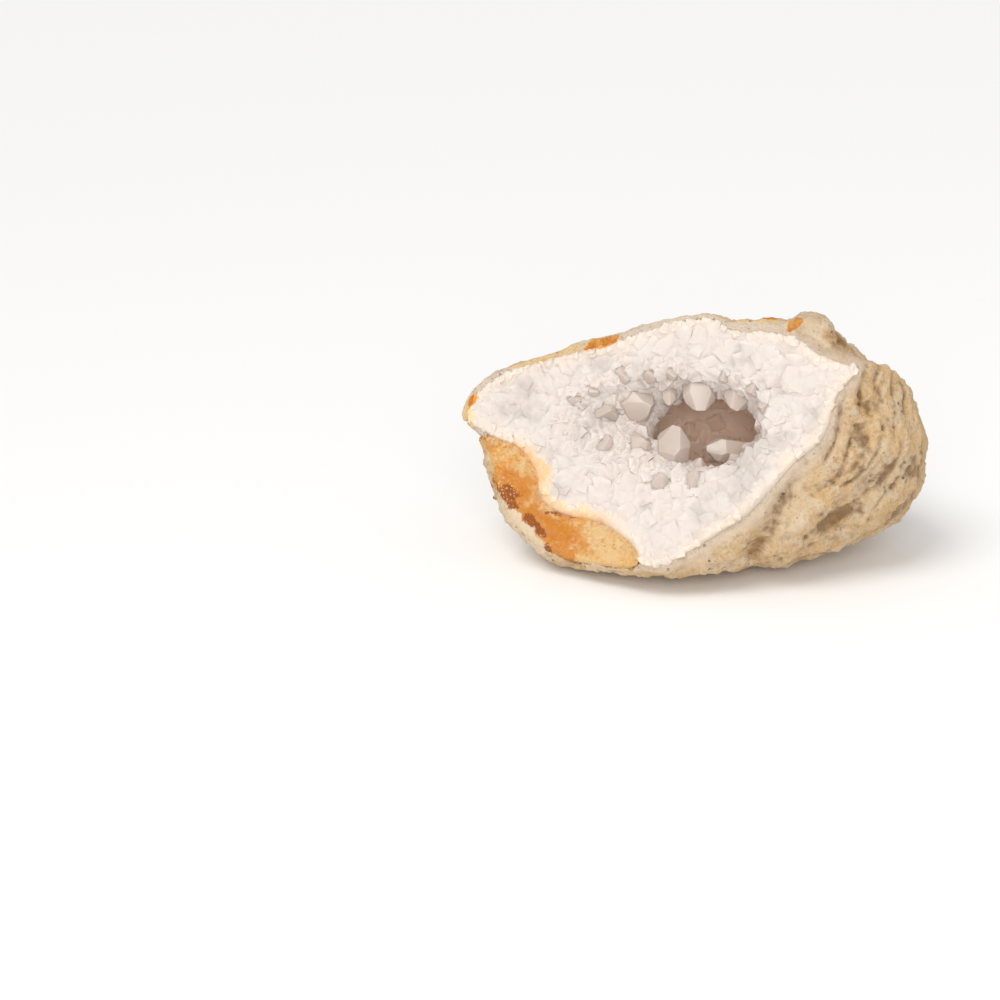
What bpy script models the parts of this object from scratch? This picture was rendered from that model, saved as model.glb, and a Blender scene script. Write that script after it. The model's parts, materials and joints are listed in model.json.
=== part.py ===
"""A geode half: a limestone nodule broken open round a hollow lined with quartz.

Blender 4.5, metres, +Z up. The stone is modelled in the frame of its broken face: x to the
right, y up the face, z out of it. The empty at the end leans that frame back and stands the
stone on the flat of its rind, with the origin under the middle of its box.

The pieces are the rind, the iron-stained layer under it at the lower left, the quartz lining
round the hollow, and the larger crystals, each in a socket of the lining.
"""

import math
import random

import bmesh
import bpy
import numpy as np
from mathutils import Matrix, Vector, noise
from mathutils.bvhtree import BVHTree

MM = 0.001

# ---------------------------------------------------------------- driving dimensions, in mm
LEAN_BACK = math.radians(22)  # the face frame leans back from the vertical by this much
FACE_RISE_RIGHT = 0.22  # the fracture comes forward to the right, mm per mm
FACE_RISE_UP = -0.18  # and goes back towards the top, mm per mm
FACE_RELIEF = 0.7  # unevenness of the fracture
FACE_RELIEF_SPACING, FINE_FACE_RELIEF_SPACING = 9.0, 4.0

BACK_POLE = (9.0, -5.0, -38.0)  # the furthest point of the rounded back
BACK_SQUARENESS = 0.80  # 1 is an ellipse, less is fuller
BACK_LUMPS = 1.3  # height of the lumps on the back
LUMP_SPACING, FINE_LUMP_SPACING = 17.0, 7.4
MIDDLE_DEPTH = -12.0  # of the point that the lumps swell away from
REST_FLAT_DEPTH = 1.6  # how much of the belly the resting flat takes away

RIND_THIN, RIND_THICK = 1.5, 4.2  # wall of the rind at the top left and at the lower right
RIND_THIN_AT, RIND_THICK_AT = -43.0, 43.0  # x - y where the wall reaches each of them
RIND_BACK = 4.0
JOINT_GAP = 0.35  # between one layer and the next
STAIN_END_THICKNESS = 0.8  # where the stained layer stops
RIND_RIM_BESIDE_STAIN = 1.3  # width of rind left outside the stained layer

# The hollow, from the basin broken open in the face down to the dark bottom. Its mouth runs
# along a ledge at the lower left; the rings below it are ellipses.
MOUTH_CENTRE = (-4.5, 4.5)
MOUTH_OUTLINE = (
    (-28.0, 8.0),
    (-22.0, 5.2),
    (-16.5, 2.3),
    (-11.5, -1.5),
    (-7.5, -4.8),
    (-2.0, -6.6),
    (5.0, -6.8),
    (11.0, -4.8),
    (15.2, 0.0),
    (16.0, 6.0),
    (13.0, 12.0),
    (6.0, 15.0),
    (-2.0, 15.6),
    (-10.0, 15.2),
    (-18.0, 13.6),
    (-24.0, 11.4),
)
MOUTH_DROP = 1.2
THROAT = dict(centre=(3.2, 2.9), radii=(11.2, 8.2), drop=8.5)
BELLY = dict(centre=(4.0, 2.0), radii=(13.2, 10.2), height=-15.0)
HOLLOW_BOTTOM = (5.0, 1.5, -25.5)

FRONT_RINGS, BACK_RINGS = 4, 10
FACE_RINGS, SLOPE_RINGS, THROAT_RINGS, BELLY_RINGS = 4, 2, 2, 4
COLUMNS_PER_STATION = 2

SOCKET_CLEARANCE = 0.35
SEAT_DEPTH = 0.7  # how deep the whole foot of a crystal sits in the lining
POINT_ANGLE = math.radians(51.8)  # between the axis of quartz and the normals of its point
UNEVEN_POINT = 0.10  # how far the faces of a point are out of step, over the width
CRYSTAL_SPACING = 0.35  # free space kept between two crystals

# Stations round the stone, clockwise from its left tip. Each gives the edge of the quartz on
# the broken face (x, y), the stone's widest outline (x, y), the share of the way between them
# that the broken rim takes, how far that rim falls back, and how far the widest outline lies
# behind the edge of the quartz.
STATIONS = (
    (-48.8, 5.6, -50.2, 5.8, 0.7, 0.3, 2.0),
    (-47.6, 9.6, -49.2, 10.2, 0.7, 0.3, 2.0),
    (-44.4, 13.2, -45.6, 14.3, 0.7, 0.3, 2.5),
    (-38.8, 16.2, -39.5, 17.2, 0.7, 0.3, 3.0),
    (-31.2, 18.4, -31.6, 19.8, 0.7, 0.3, 3.0),
    (-22.4, 20.3, -22.8, 22.4, 0.7, 0.5, 3.0),
    (-15.4, 22.0, -15.6, 24.6, 0.7, 0.7, 3.0),
    (-9.4, 24.5, -9.6, 26.2, 0.7, 0.4, 3.0),
    (-2.0, 26.6, -2.1, 27.9, 0.7, 0.3, 3.0),
    (4.4, 26.9, 4.8, 28.2, 0.7, 0.3, 3.0),
    (8.6, 24.3, 8.2, 26.9, 0.7, 0.6, 3.5),
    (14.3, 23.7, 14.5, 26.9, 0.7, 0.6, 4.0),
    (19.4, 23.0, 19.9, 26.9, 0.7, 0.8, 4.5),
    (22.6, 21.2, 23.4, 27.9, 0.55, 1.0, 5.5),
    (26.0, 18.6, 28.6, 27.4, 0.55, 1.2, 7.0),
    (30.0, 17.1, 30.8, 23.2, 0.5, 1.2, 8.0),
    (34.6, 16.2, 35.8, 17.9, 0.5, 0.8, 7.0),
    (32.8, 14.0, 41.2, 16.7, 0.22, 0.8, 12.0),
    (30.0, 11.4, 45.6, 13.6, 0.16, 0.9, 16.0),
    (28.4, 7.6, 47.9, 8.6, 0.14, 1.0, 18.5),
    (27.2, 3.4, 50.0, 2.0, 0.13, 1.0, 20.0),
    (24.8, 0.0, 50.4, -4.0, 0.12, 1.0, 21.0),
    (20.6, -2.8, 49.4, -9.4, 0.12, 1.0, 21.5),
    (17.6, -6.4, 46.8, -14.4, 0.12, 1.0, 21.0),
    (14.4, -10.0, 41.0, -18.2, 0.12, 1.0, 20.0),
    (10.4, -14.2, 32.6, -22.2, 0.12, 1.0, 18.0),
    (4.6, -18.2, 23.6, -25.3, 0.12, 0.9, 15.0),
    (-1.0, -22.0, 12.4, -26.8, 0.15, 0.8, 11.0),
    (-6.0, -25.2, -1.0, -27.6, 0.3, 0.6, 6.5),
    (-10.4, -25.4, -11.6, -27.4, 0.6, 1.2, 6.0),
    (-11.0, -24.0, -14.6, -27.4, 0.7, 2.4, 6.4),
    (-11.6, -20.6, -20.4, -26.8, 0.84, 4.5, 8.5),
    (-18.4, -15.0, -28.4, -26.0, 0.86, 6.0, 10.5),
    (-26.6, -13.8, -36.6, -21.2, 0.86, 6.0, 10.5),
    (-31.4, -10.4, -41.4, -14.8, 0.86, 5.5, 9.5),
    (-31.0, -5.0, -44.0, -8.2, 0.87, 5.5, 9.0),
    (-35.0, -0.6, -45.4, -0.6, 0.84, 4.0, 7.0),
    (-39.6, 1.0, -46.0, 1.0, 0.7, 2.2, 5.0),
    (-43.6, 2.6, -46.8, 2.6, 0.6, 1.0, 3.5),
)
STAINED_CORNER = (-9.0, 3.0)  # the stained layer lies left of this point of the face and below it

# The crystals that stand out: name, tip (x, y), how far the tip lies below the fracture, the
# way it points (x, y, z) and its width across the flats.
STANDING_CRYSTALS = (
    ("crystal_left_sentinel", (-3.4, 4.4), 3.2, (0.12, 0.86, 0.50), 6.6),
    ("crystal_left_block", (-9.8, 1.0), 1.0, (0.42, 0.40, 0.82), 6.6),
    ("crystal_left_grey", (-8.8, 8.2), 2.6, (0.52, -0.10, 0.85), 6.8),
    ("crystal_left_upright", (-17.4, 7.0), 1.0, (0.26, 0.14, 0.95), 5.2),
    ("crystal_left_far", (-22.6, 8.8), 0.4, (0.24, 0.0, 0.97), 4.6),
    ("crystal_left_ledge", (-17.6, 1.6), -0.9, (0.16, 0.46, 0.87), 4.6),
    ("crystal_top_glint", (-4.9, 8.6), 4.2, (0.0, -0.74, 0.67), 2.8),
    ("crystal_top_block", (1.8, 7.2), 3.4, (0.06, -0.82, 0.57), 6.0),
    ("crystal_top_left", (-13.6, 14.2), -0.2, (0.12, -0.34, 0.93), 4.8),
    ("crystal_top_right_hanger", (8.8, 7.4), 4.2, (-0.20, -0.74, 0.64), 5.2),
    ("crystal_right_splinter", (13.2, 4.2), 4.2, (-0.70, -0.06, 0.71), 4.4),
    ("crystal_right_lying", (3.0, -0.6), 9.4, (-0.90, 0.12, 0.42), 4.8),
    ("crystal_right_lip", (12.0, -2.0), 1.6, (-0.44, 0.40, 0.80), 4.4),
    ("crystal_floor_right", (6.6, -4.2), 1.6, (-0.06, 0.62, 0.78), 4.8),
    ("crystal_floor_white_point", (0.8, -5.6), 0.2, (0.04, 0.66, 0.75), 5.0),
    ("crystal_floor_left", (-6.2, -6.4), -0.6, (0.10, 0.56, 0.82), 4.6),
)
# Rings of smaller crystals round the hollow: name, the share of the way from the hollow's
# mouth (0) to its throat (1), how many are tried, how far the tips stand out of the wall, how
# strongly they lean towards the middle of the hollow and their width.
CRYSTAL_RINGS = (
    ("mouth", 0.08, 44, 2.0, 0.40, 3.2),
    ("slope", 0.50, 40, 2.4, 0.60, 2.9),
    ("throat", 1.04, 30, 3.0, 0.85, 3.0),
)
FLOOR_CRYSTALS = ((-0.5, 2.6), (5.6, 5.4), (9.6, -0.4), (3.6, -2.8))  # tips, (x, y)
FLOOR_TIP_HEIGHT = 3.6  # above the bottom of the hollow
FLOOR_CRYSTAL_WIDTH = 4.2
FLOOR_LEAN = 0.2
SEED = 11

RIND_COLOUR = (0.58, 0.43, 0.26, 1.0)
STAIN_COLOUR = (0.66, 0.31, 0.08, 1.0)
LINING_COLOUR = (0.86, 0.80, 0.76, 1.0)
CRYSTAL_COLOUR = (0.80, 0.75, 0.72, 1.0)


# ---------------------------------------------------------------- small helpers
def clear_scene():
    for obj in list(bpy.data.objects):
        bpy.data.objects.remove(obj)


def finish_material(name, colour, roughness):
    material = bpy.data.materials.new(name)
    material.use_nodes = True
    shader = material.node_tree.nodes["Principled BSDF"]
    shader.inputs["Base Color"].default_value = colour
    shader.inputs["Roughness"].default_value = roughness
    return material


def smooth_closed(points, per_point):
    """A closed Catmull-Rom curve through the points, as an array with per_point samples each."""
    points = np.asarray(points, float)
    before, after, beyond = (np.roll(points, shift, axis=0) for shift in (1, -1, -2))
    samples = []
    for step in range(per_point):
        t = step / per_point
        samples.append(
            0.5
            * (
                2 * points
                + (after - before) * t
                + (2 * before - 5 * points + 4 * after - beyond) * t**2
                + (3 * points - before - 3 * after + beyond) * t**3
            )
        )
    return np.stack(samples, axis=1).reshape(-1, points.shape[1])


def unit(vectors):
    return vectors / np.maximum(np.linalg.norm(vectors, axis=-1, keepdims=True), 1e-9)


def fracture_height(x, y):
    """The plane of the broken face, without its unevenness."""
    return FACE_RISE_RIGHT * x + FACE_RISE_UP * y


def uneven(points, spacing, salt):
    """Smooth noise from -1 to 1 at each point."""
    shift = Vector((salt * 7.3, salt * 3.1, salt * 5.7))
    return np.array([noise.noise(Vector(p) / spacing + shift) for p in points])


def mesh_object(name, points, faces, material, frame, smooth=True):
    """One closed mesh, in metres, with its faces turned outwards, under the stone's frame."""
    mesh = bpy.data.meshes.new(name)
    mesh.from_pydata([tuple(p * MM) for p in points], [], faces)
    shape = bmesh.new()
    shape.from_mesh(mesh)
    bmesh.ops.recalc_face_normals(shape, faces=shape.faces)
    bmesh.ops.triangulate(shape, faces=shape.faces)
    shape.to_mesh(mesh)
    shape.free()
    mesh.materials.append(material)
    if smooth:
        mesh.shade_smooth()
        mesh.set_sharp_from_angle(angle=math.radians(35))
    obj = bpy.data.objects.new(name, mesh)
    bpy.context.scene.collection.objects.link(obj)
    obj.parent = frame
    return obj


def rings_closed_by_poles(first_pole, rings, last_pole):
    """Points and faces of the surface through the rings, closed by a point at each end."""
    columns = len(rings[0])
    points = [first_pole, *np.concatenate(rings), last_pole]
    last = len(points) - 1
    faces = []
    for c in range(columns):
        n = (c + 1) % columns
        faces.append((0, 1 + c, 1 + n))
        for r in range(len(rings) - 1):
            near, far = 1 + r * columns, 1 + (r + 1) * columns
            faces.append((near + c, far + c, far + n, near + n))
        end = 1 + (len(rings) - 1) * columns
        faces.append((end + c, last, end + n))
    return np.array(points), faces


# ---------------------------------------------------------------- the stone's shells
def edge_curves():
    """The quartz edge, the outer edge of the rim and the widest outline, all round the stone."""
    rows = []
    for qx, qy, gx, gy, rim_share, rim_drop, drop in STATIONS:
        height = fracture_height(qx, qy)
        rim_x, rim_y = qx + (gx - qx) * rim_share, qy + (gy - qy) * rim_share
        rows.append((qx, qy, height, rim_x, rim_y, height - rim_drop, gx, gy, height - drop))
    curve = smooth_closed(rows, COLUMNS_PER_STATION)
    return curve[:, 0:3], curve[:, 3:6], curve[:, 6:9]


def rind_wall(outline):
    """The rind's thickness at each column: thin at the upper left, thick at the lower right."""
    towards_lower_right = outline[:, 0] - outline[:, 1]
    return np.interp(
        towards_lower_right, (RIND_THIN_AT, RIND_THICK_AT), (RIND_THIN, RIND_THICK)
    )


def back_rings(outline, pole):
    """Rings from the widest outline back to the pole, without either end."""
    rings = []
    for r in range(1, BACK_RINGS):
        angle = math.pi / 2 * r / BACK_RINGS
        inward = math.cos(angle) ** BACK_SQUARENESS
        ring = np.empty_like(outline)
        ring[:, :2] = pole[:2] + (outline[:, :2] - pole[:2]) * inward
        ring[:, 2] = outline[:, 2] + (pole[2] - outline[:, 2]) * math.sin(angle)
        rings.append(ring)
    return rings


def outer_shell(rim, outline):
    """The outside of the stone, from the rim round the widest outline to the back."""
    pole = np.array(BACK_POLE)
    rings = []
    for r in range(FRONT_RINGS + 1):
        angle = math.pi / 2 * r / FRONT_RINGS
        ring = rim + (outline - rim) * math.sin(angle)
        ring[:, 2] = rim[:, 2] + (outline[:, 2] - rim[:, 2]) * (1 - math.cos(angle))
        rings.append(ring)
    rings += back_rings(outline, pole)
    for r, ring in enumerate(rings):
        strength = BACK_LUMPS * min(1.0, max(0.0, (r - 1) / (FRONT_RINGS + 1)))
        away = unit(ring - np.array([pole[0], pole[1], MIDDLE_DEPTH]))
        lumps = uneven(ring, LUMP_SPACING, 1) + 0.5 * uneven(ring, FINE_LUMP_SPACING, 2)
        rings[r] = ring + away * (strength * lumps)[:, None]
    return rings, pole


def inner_shell(quartz_edge, outline):
    """Where the quartz lining meets the layers outside it, ring for ring with the outside."""
    pole = np.array(BACK_POLE) + (0, 0, RIND_BACK)
    inward = np.array(BACK_POLE[:2]) - outline[:, :2]
    inset = outline.copy()
    inset[:, :2] += unit(inward) * rind_wall(outline)[:, None]
    rings = [
        quartz_edge + (inset - quartz_edge) * (r / FRONT_RINGS) for r in range(FRONT_RINGS + 1)
    ]
    return rings + back_rings(inset, pole), pole


def stain_thickness(outer, inner):
    """Thickness of the stained layer at each ring and column, 0 where there is none."""
    reached = (inner[0][:, 0] < STAINED_CORNER[0]) & (inner[0][:, 1] < STAINED_CORNER[1])
    front_width = np.linalg.norm(outer[0] - inner[0], axis=1)
    at_front = front_width - 2 * JOINT_GAP - RIND_RIM_BESIDE_STAIN
    thickness = np.zeros((len(outer), len(reached)))
    for r in range(FRONT_RINGS + 1):
        share = r / FRONT_RINGS
        thickness[r] = at_front * (1 - share) + STAIN_END_THICKNESS * share
    thickness[:, ~reached] = 0
    thickness[:, at_front < STAIN_END_THICKNESS] = 0
    return thickness


def rind(outer, outer_pole, inner, inner_pole, stain, material, frame):
    facing = []
    for r, (outside, inside) in enumerate(zip(outer, inner)):
        offset = JOINT_GAP + np.where(stain[r] > 0, stain[r] + JOINT_GAP, 0)
        facing.append(inside + unit(outside - inside) * offset[:, None])
    facing_pole = inner_pole - (0, 0, JOINT_GAP)
    points, faces = rings_closed_by_poles(outer_pole, outer[::-1] + facing, facing_pole)
    return mesh_object("rind", points, faces, material, frame)


def stained_layer(outer, inner, stain, material, frame):
    """The stained band at the lower left: a slab between the lining and the rind."""
    held = np.flatnonzero(stain[0] > 0)
    near, far = [], []
    for r in range(FRONT_RINGS + 1):
        way = unit(outer[r] - inner[r])[held]
        near.append(inner[r][held] + way * JOINT_GAP)
        far.append(inner[r][held] + way * (JOINT_GAP + stain[r][held])[:, None])
    loops = near + far[::-1]
    columns, rows = len(held), len(loops)
    points = np.concatenate(loops)
    faces = []
    for r in range(rows):
        here, following = r * columns, (r + 1) % rows * columns
        for c in range(columns - 1):
            faces.append((here + c, following + c, following + c + 1, here + c + 1))
    for c in (0, columns - 1):
        for r in range(FRONT_RINGS):
            opposite = rows - 1 - r
            faces.append([k * columns + c for k in (r, r + 1, opposite - 1, opposite)])
    return mesh_object("stained_layer", points, faces, material, frame)


def ellipse_ring(ring, directions):
    """Points of an ellipse, one in each direction from its own centre."""
    (cx, cy), (rx, ry) = ring["centre"], ring["radii"]
    reach = 1 / np.hypot(np.cos(directions) / rx, np.sin(directions) / ry)
    return cx + reach * np.cos(directions), cy + reach * np.sin(directions)


def mouth_ring(directions):
    """The hollow's mouth, a point in each direction from its centre, a little below the face."""
    outline = smooth_closed(MOUTH_OUTLINE, 6) - MOUTH_CENTRE
    around = np.arctan2(outline[:, 1], outline[:, 0])
    reach = np.interp(directions, around, np.hypot(*outline.T), period=2 * math.pi)
    x = MOUTH_CENTRE[0] + reach * np.cos(directions)
    y = MOUTH_CENTRE[1] + reach * np.sin(directions)
    return np.stack([x, y, fracture_height(x, y) - MOUTH_DROP], axis=1)


def throat_ring(directions):
    x, y = ellipse_ring(THROAT, directions)
    return np.stack([x, y, fracture_height(x, y) - THROAT["drop"]], axis=1)


def belly_ring(directions):
    x, y = ellipse_ring(BELLY, directions)
    return np.stack([x, y, np.full_like(x, BELLY["height"])], axis=1)


def between(first, second, steps, ease=1.0):
    """Rings strictly between two rings."""
    return [first + (second - first) * ((s / steps) ** ease) for s in range(1, steps)]


def quartz_lining(inner, inner_pole, material, frame):
    """The lining: its back fits the inner shell, its front is the broken face and the hollow."""
    edge = inner[0]
    directions = np.arctan2(edge[:, 1] - MOUTH_CENTRE[1], edge[:, 0] - MOUTH_CENTRE[0])
    mouth, throat = mouth_ring(directions), throat_ring(directions)
    belly, bottom = belly_ring(directions), np.array(HOLLOW_BOTTOM)
    face = between(edge, mouth, FACE_RINGS) + [mouth]
    slope = between(mouth, throat, SLOPE_RINGS + 1) + [throat]
    for ring in face + slope:
        relief = uneven(ring, FACE_RELIEF_SPACING, 3)
        relief += 0.5 * uneven(ring, FINE_FACE_RELIEF_SPACING, 4)
        ring[:, 2] += FACE_RELIEF * relief
    walls = between(throat, belly, THROAT_RINGS) + [belly]
    floor = []
    for r in range(1, BELLY_RINGS):
        angle = math.pi / 2 * r / BELLY_RINGS
        ring = bottom + (belly - bottom) * math.cos(angle)
        ring[:, 2] = belly[:, 2] + (bottom[2] - belly[:, 2]) * math.sin(angle)
        floor.append(ring)
    rings = inner[::-1] + face + slope + walls + floor
    points, faces = rings_closed_by_poles(inner_pole, rings, bottom)
    return mesh_object("quartz_lining", points, faces, material, frame)


# ---------------------------------------------------------------- crystals
def cut_flat(shape, point, normal):
    """Cuts away what lies beyond a plane, and closes the cut."""
    everything = shape.verts[:] + shape.edges[:] + shape.faces[:]
    cut = bmesh.ops.bisect_plane(
        shape, geom=everything, plane_co=point, plane_no=normal, clear_outer=True, dist=1e-6
    )
    edges = [e for e in cut["geom_cut"] if isinstance(e, bmesh.types.BMEdge)]
    if edges:
        bmesh.ops.contextual_create(shape, geom=edges)


def crystal_mesh(crystal, margin=0.0):
    """Six flat sides and a six-sided point with uneven faces, as points and faces in place."""
    width, length = crystal["width"], crystal["length"]
    shape = bmesh.new()
    bmesh.ops.create_cube(shape, size=4 * (width + length))
    cut_flat(shape, (0, 0, -margin), (0, 0, -1))
    for k, step in enumerate(crystal["steps"]):
        angle = math.pi / 3 * k
        out = Vector((math.cos(angle), math.sin(angle), 0))
        cut_flat(shape, out * (width / 2 + margin), out)
        slope = out * math.sin(POINT_ANGLE) + Vector((0, 0, math.cos(POINT_ANGLE)))
        cut_flat(shape, Vector((0, 0, length + step * width)) + slope * margin, slope)
    turn = Vector(crystal["way"]).to_track_quat("Z", "Y").to_matrix()
    turn = turn @ Matrix.Rotation(crystal["spin"], 3, "Z")
    points = [np.array(turn @ v.co + Vector(crystal["foot"])) for v in shape.verts]
    faces = [[v.index for v in face.verts] for face in shape.faces]
    shape.free()
    return points, faces


def seated_crystal(name, tip, way, width, lining_tree, pick):
    """A crystal that reaches from its tip back into the lining, or None where it can't."""
    way = Vector(way).normalized()
    across = way.orthogonal().normalized()
    reaches = []
    for k in range(7):
        offset = Matrix.Rotation(math.pi / 3 * k, 3, way) @ across * (width / 2 if k else 0)
        start = Vector(tip) + offset
        place, normal, _, reach = lining_tree.ray_cast(start, -way, 40.0)
        if place is None:
            return None
        reaches.append(reach if normal.dot(way) > 0 else 0.0)  # 0 where it starts in the wall
    length = max(reaches) + SEAT_DEPTH
    foot = Vector(tip) - way * length
    steps = [UNEVEN_POINT * (pick.random() + (k % 2)) for k in range(6)]
    return {
        "name": name,
        "foot": np.array(foot),
        "way": np.array(way),
        "width": width,
        "length": length - min(steps) * width,
        "spin": pick.uniform(0, math.pi / 3),
        "steps": steps,
    }


def outline_tree(crystal):
    """The crystal with half of the space kept round it, to find others that come too near."""
    return BVHTree.FromPolygons(*crystal_mesh(crystal, CRYSTAL_SPACING / 2))


def holds_foot(outline, crystal):
    """Whether the crystal's foot lies inside another crystal's outline."""
    foot = Vector(crystal["foot"])
    nearest, normal = outline.find_nearest(foot)[:2]
    return (foot - nearest).dot(normal) < 0


def below_fracture(x, y, depth):
    return (x, y, fracture_height(x, y) - depth)


def crystal_list(lining):
    """Every crystal's place and size: the ones that stand out, then those of the rings."""
    pick = random.Random(SEED)
    shape = bmesh.new()
    shape.from_mesh(lining.data)
    shape.transform(Matrix.Scale(1 / MM, 4))
    tree = BVHTree.FromBMesh(shape)
    shape.free()
    placed = []
    outlines = []

    def place(crystal):
        """Keeps the crystal where it can be seated and has room."""
        if crystal is None:
            return False
        outline = outline_tree(crystal)
        if any(outline.overlap(other) or holds_foot(other, crystal) for other in outlines):
            return False
        placed.append(crystal)
        outlines.append(outline)
        return True

    for name, (x, y), depth, way, width in STANDING_CRYSTALS:
        place(seated_crystal(name, below_fracture(x, y, depth), way, width, tree, pick))
    for ring_name, share, tries, stand_out, lean, width in CRYSTAL_RINGS:
        made = 0
        for k in range(tries):
            direction = np.array([2 * math.pi * (k + pick.uniform(-0.3, 0.3)) / tries])
            mouth, throat = mouth_ring(direction)[0], throat_ring(direction)[0]
            foot = mouth + (throat - mouth) * share
            inward = unit(np.array([*THROAT["centre"], foot[2]]) - foot)
            way = unit(inward * lean + (0, 0, 1 - 0.4 * lean))
            name = f"crystal_{ring_name}_{made + 1}"
            size = width * pick.uniform(0.8, 1.15)
            made += place(seated_crystal(name, foot + way * stand_out, way, size, tree, pick))
    for k, (x, y) in enumerate(FLOOR_CRYSTALS):
        tip = (x, y, HOLLOW_BOTTOM[2] + FLOOR_TIP_HEIGHT)
        way = (pick.uniform(-FLOOR_LEAN, FLOOR_LEAN), pick.uniform(-FLOOR_LEAN, FLOOR_LEAN), 1)
        place(seated_crystal(f"crystal_bottom_{k + 1}", tip, way, FLOOR_CRYSTAL_WIDTH, tree, pick))
    return placed


def crystals_and_sockets(lining, material, frame):
    """The crystals, and a socket for each in the lining."""
    sockets = bpy.data.collections.new("sockets")
    bpy.context.scene.collection.children.link(sockets)
    made = []
    for crystal in crystal_list(lining):
        name = crystal["name"]
        made.append(mesh_object(name, *crystal_mesh(crystal), material, frame, smooth=False))
        shape = crystal_mesh(crystal, SOCKET_CLEARANCE)
        cutter = mesh_object("socket_of_" + name, *shape, material, frame, smooth=False)
        cutter.hide_render = True
        cutter.display_type = "WIRE"
        bpy.context.scene.collection.objects.unlink(cutter)
        sockets.objects.link(cutter)
    cut = lining.modifiers.new("sockets", "BOOLEAN")
    cut.operand_type = "COLLECTION"
    cut.collection = sockets
    cut.operation = "DIFFERENCE"
    return made


# ---------------------------------------------------------------- standing it up
def world_points(obj, frame):
    points = np.empty(len(obj.data.vertices) * 3)
    obj.data.vertices.foreach_get("co", points)
    matrix = np.array(frame.matrix_basis)
    return points.reshape(-1, 3) @ matrix[:3, :3].T + matrix[:3, 3]


def stand_on_flat(frame, nodes, rind_node):
    """Puts the box's bottom centre at the origin, and cuts the resting flat there."""
    everything = np.concatenate([world_points(obj, frame) for obj in nodes])
    low, high = everything.min(axis=0), everything.max(axis=0)
    flat = low[2] + REST_FLAT_DEPTH * MM
    frame.location = (-(low[0] + high[0]) / 2, -(low[1] + high[1]) / 2, -flat)
    side = 3 * (high[0] - low[0])
    bpy.ops.mesh.primitive_cube_add(size=side, location=(0, 0, -side / 2))
    cutter = bpy.context.object
    cutter.name = "rest_flat_cutter"
    cutter.hide_render = True
    cutter.display_type = "WIRE"
    cut = rind_node.modifiers.new("rest_flat", "BOOLEAN")
    cut.object = cutter
    cut.operation = "DIFFERENCE"


def main():
    clear_scene()
    frame = bpy.data.objects.new("broken_face_frame", None)
    frame.rotation_euler.x = math.pi / 2 - LEAN_BACK
    bpy.context.scene.collection.objects.link(frame)

    rock = finish_material("rind", RIND_COLOUR, 0.9)
    stained = finish_material("stained_layer", STAIN_COLOUR, 0.8)
    milky = finish_material("quartz_lining", LINING_COLOUR, 0.45)
    clear = finish_material("quartz_crystal", CRYSTAL_COLOUR, 0.2)

    quartz_edge, rim, outline = edge_curves()
    outer, outer_pole = outer_shell(rim, outline)
    inner, inner_pole = inner_shell(quartz_edge, outline)
    stain = stain_thickness(outer, inner)

    rind_node = rind(outer, outer_pole, inner, inner_pole, stain, rock, frame)
    nodes = [rind_node, stained_layer(outer, inner, stain, stained, frame)]
    lining = quartz_lining(inner, inner_pole, milky, frame)
    nodes.append(lining)
    nodes += crystals_and_sockets(lining, clear, frame)
    stand_on_flat(frame, nodes, rind_node)


main()
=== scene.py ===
"""Geode half: the finish of its rind, its stained layer and its quartz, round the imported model."""

import json
import math
import random

import bmesh
import bpy
import numpy as np
from bpy.props import FloatProperty, FloatVectorProperty, PointerProperty
from bpy.types import Operator, Panel, PropertyGroup
from mathutils import Matrix, Vector, noise
from mathutils.bvhtree import BVHTree

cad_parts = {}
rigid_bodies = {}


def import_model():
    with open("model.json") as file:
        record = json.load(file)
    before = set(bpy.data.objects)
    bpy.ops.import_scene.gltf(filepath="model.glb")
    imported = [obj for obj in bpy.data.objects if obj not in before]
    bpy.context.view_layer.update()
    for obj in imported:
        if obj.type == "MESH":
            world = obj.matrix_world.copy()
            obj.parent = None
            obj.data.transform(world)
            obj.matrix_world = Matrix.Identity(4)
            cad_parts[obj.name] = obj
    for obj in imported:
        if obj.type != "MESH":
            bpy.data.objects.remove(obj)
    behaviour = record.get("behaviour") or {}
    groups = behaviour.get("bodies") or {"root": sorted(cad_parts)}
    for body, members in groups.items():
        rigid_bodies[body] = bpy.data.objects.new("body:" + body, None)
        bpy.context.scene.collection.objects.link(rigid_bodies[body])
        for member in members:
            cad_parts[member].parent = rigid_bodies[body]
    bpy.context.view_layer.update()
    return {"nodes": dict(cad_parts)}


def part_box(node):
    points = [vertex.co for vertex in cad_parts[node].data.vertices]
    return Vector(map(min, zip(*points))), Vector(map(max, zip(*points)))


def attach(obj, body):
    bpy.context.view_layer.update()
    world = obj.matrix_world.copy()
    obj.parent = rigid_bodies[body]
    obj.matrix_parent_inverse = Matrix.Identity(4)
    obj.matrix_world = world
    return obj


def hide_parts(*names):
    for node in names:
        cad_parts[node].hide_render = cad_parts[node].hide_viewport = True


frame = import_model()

bl_info = {
    "name": "Geode Half",
    "version": (1, 0, 0),
    "blender": (4, 5, 0),
    "location": "View3D > Sidebar > Geode",
    "description": "Finishes the rind, the stained layer, the quartz and the crystals of a geode half",
    "category": "Add Mesh",
}

MM = 0.001
LINING, RIND, STAINED = "quartz_lining", "rind", "stained_layer"
FAR = 9.0  # mm, the longest distance that the finishes tell apart

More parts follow.
